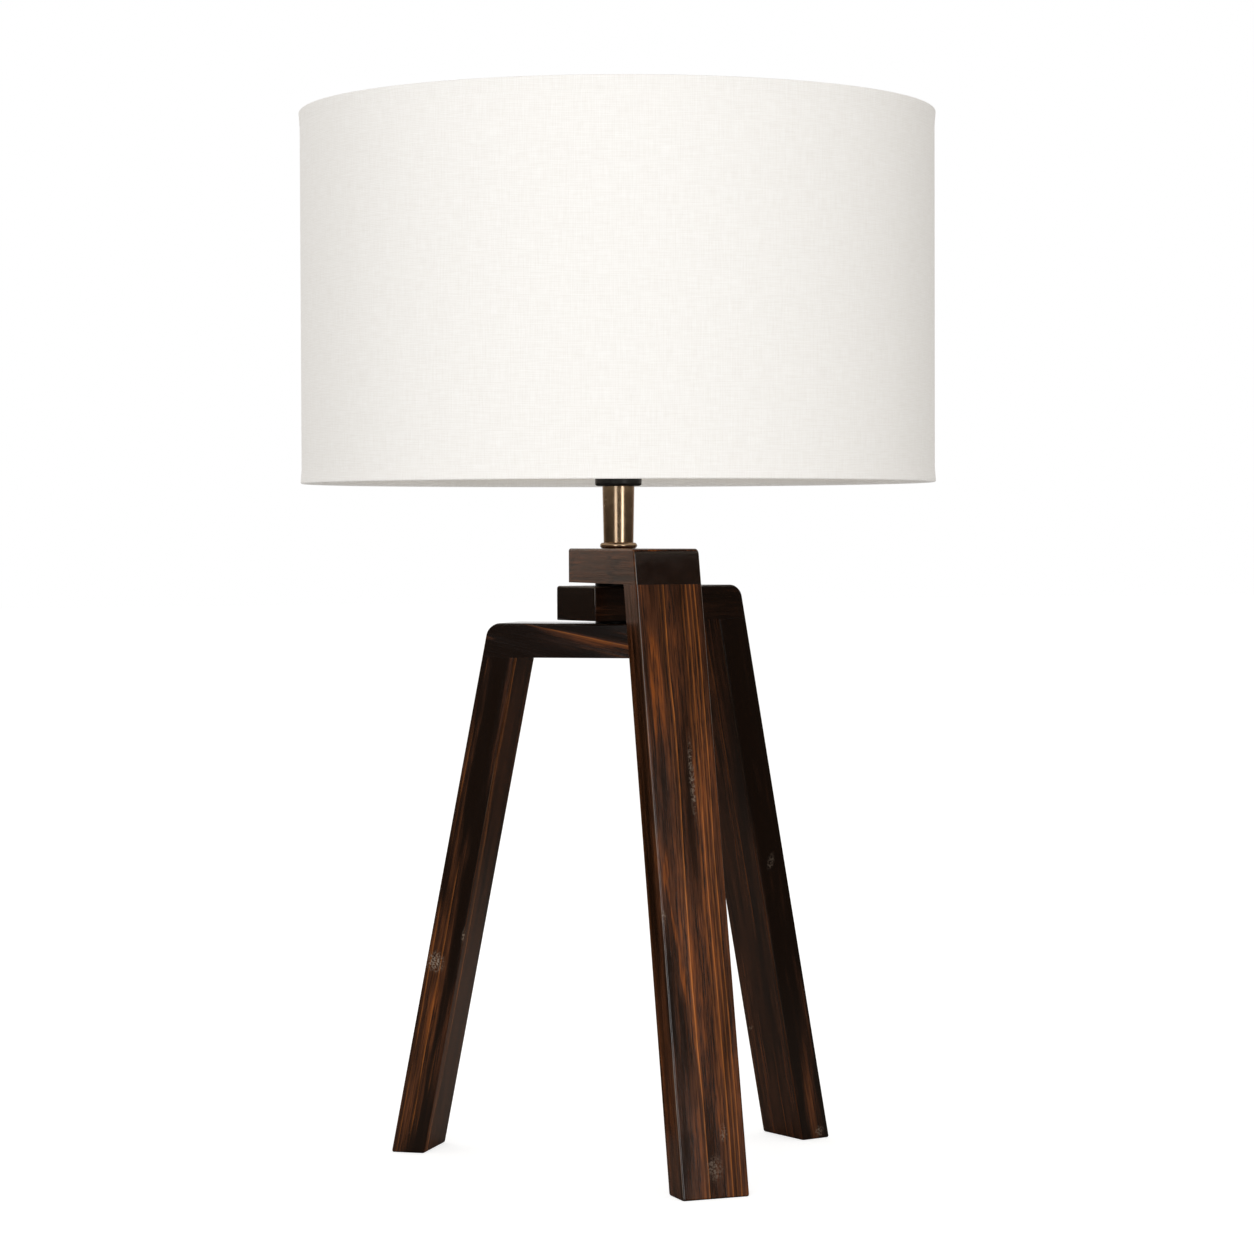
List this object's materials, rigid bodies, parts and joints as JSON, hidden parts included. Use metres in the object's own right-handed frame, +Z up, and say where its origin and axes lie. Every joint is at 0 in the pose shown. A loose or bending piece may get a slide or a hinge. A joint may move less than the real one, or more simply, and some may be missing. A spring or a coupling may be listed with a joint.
{
  "type": "tripod table lamp",
  "caption": "Table lamp with an upright drum shade on a short brass neck and L-shaped dark timber legs that swivel on a hollow central rod.",
  "frame": {"origin": "on the floor under the rod's axis, at the centre of the shade's outline seen from above", "axes": "+Z up along the rod; -Y towards the front leg's foot; +X to the right of the front leg"},
  "size_m": [0.35, 0.35, 0.577],
  "materials": {
    "stained_pine": "dark walnut-stained pine under satin-gloss lacquer, orange grain streaks",
    "beech_dowel": "plain fluted beech",
    "zinc_steel": "bright zinc-plated steel",
    "antique_brass": "brown antique brass, lacquered",
    "contact_brass": "bright pressed brass",
    "black_phenolic": "black moulded phenolic plastic",
    "steatite": "unglazed off-white steatite",
    "frosted_glass": "frosted white glass",
    "white_coated_steel": "white powder-coated steel wire and disc",
    "white_liner": "matt white styrene sheet",
    "ivory_linen": "fine ivory linen weave"
  },
  "bodies": {
    "stand": {"front_arm": "stained_pine", "front_leg": "stained_pine", "front_dowels": "beech_dowel", "threaded_rod": "zinc_steel", "upper_spacer": "zinc_steel", "lower_spacer": "zinc_steel", "foot_washer": "zinc_steel", "rod_nut": "zinc_steel", "cord_bushing": "black_phenolic", "neck_collar": "antique_brass", "neck_sleeve": "antique_brass", "lampholder_cap": "black_phenolic", "lampholder_insert": "steatite", "terminal_screws": "contact_brass", "centre_contact": "contact_brass", "socket_shell": "contact_brass", "lampholder_skirt": "black_phenolic"},
    "right_leg_unit": {"right_arm": "stained_pine", "right_leg": "stained_pine", "right_dowels": "beech_dowel"},
    "left_leg_unit": {"left_arm": "stained_pine", "left_leg": "stained_pine", "left_dowels": "beech_dowel"},
    "shade_unit": {"fitter_disc": "white_coated_steel", "spider_arms": "white_coated_steel", "bottom_ring_wire": "white_coated_steel", "top_ring_wire": "white_coated_steel", "shade_liner": "white_liner", "shade_fabric": "ivory_linen", "bottom_edge_tape": "ivory_linen", "top_edge_tape": "ivory_linen"},
    "clamp_ring_unit": {"clamp_ring": "black_phenolic"},
    "bulb_unit": {"bulb_contact": "zinc_steel", "bulb_insulator": "black_phenolic", "bulb_screw_cap": "zinc_steel", "bulb_glass": "frosted_glass"}
  },
  "joints": [
    {"name": "right_leg_swivel", "type": "hinge", "parent": "stand", "child": "right_leg_unit", "pos_m": [0, 0, 0.3079], "axis": [0, 0, 1], "range_deg": [-55, 40]},
    {"name": "left_leg_swivel", "type": "hinge", "parent": "stand", "child": "left_leg_unit", "pos_m": [0, 0, 0.2873], "axis": [0, 0, 1], "range_deg": [-40, 80]},
    {"name": "shade_turn", "type": "hinge", "parent": "stand", "child": "shade_unit", "pos_m": [0, 0, 0.4], "axis": [0, 0, 1], "continuous": true},
    {"name": "clamp_ring_turn", "type": "hinge", "parent": "stand", "child": "clamp_ring_unit", "pos_m": [0, 0, 0.4045], "axis": [0, 0, 1], "continuous": true},
    {"name": "bulb_unscrew", "type": "slide", "parent": "stand", "child": "bulb_unit", "axis": [0, 0, 1], "range_m": [0, 0.03]}
  ]
}
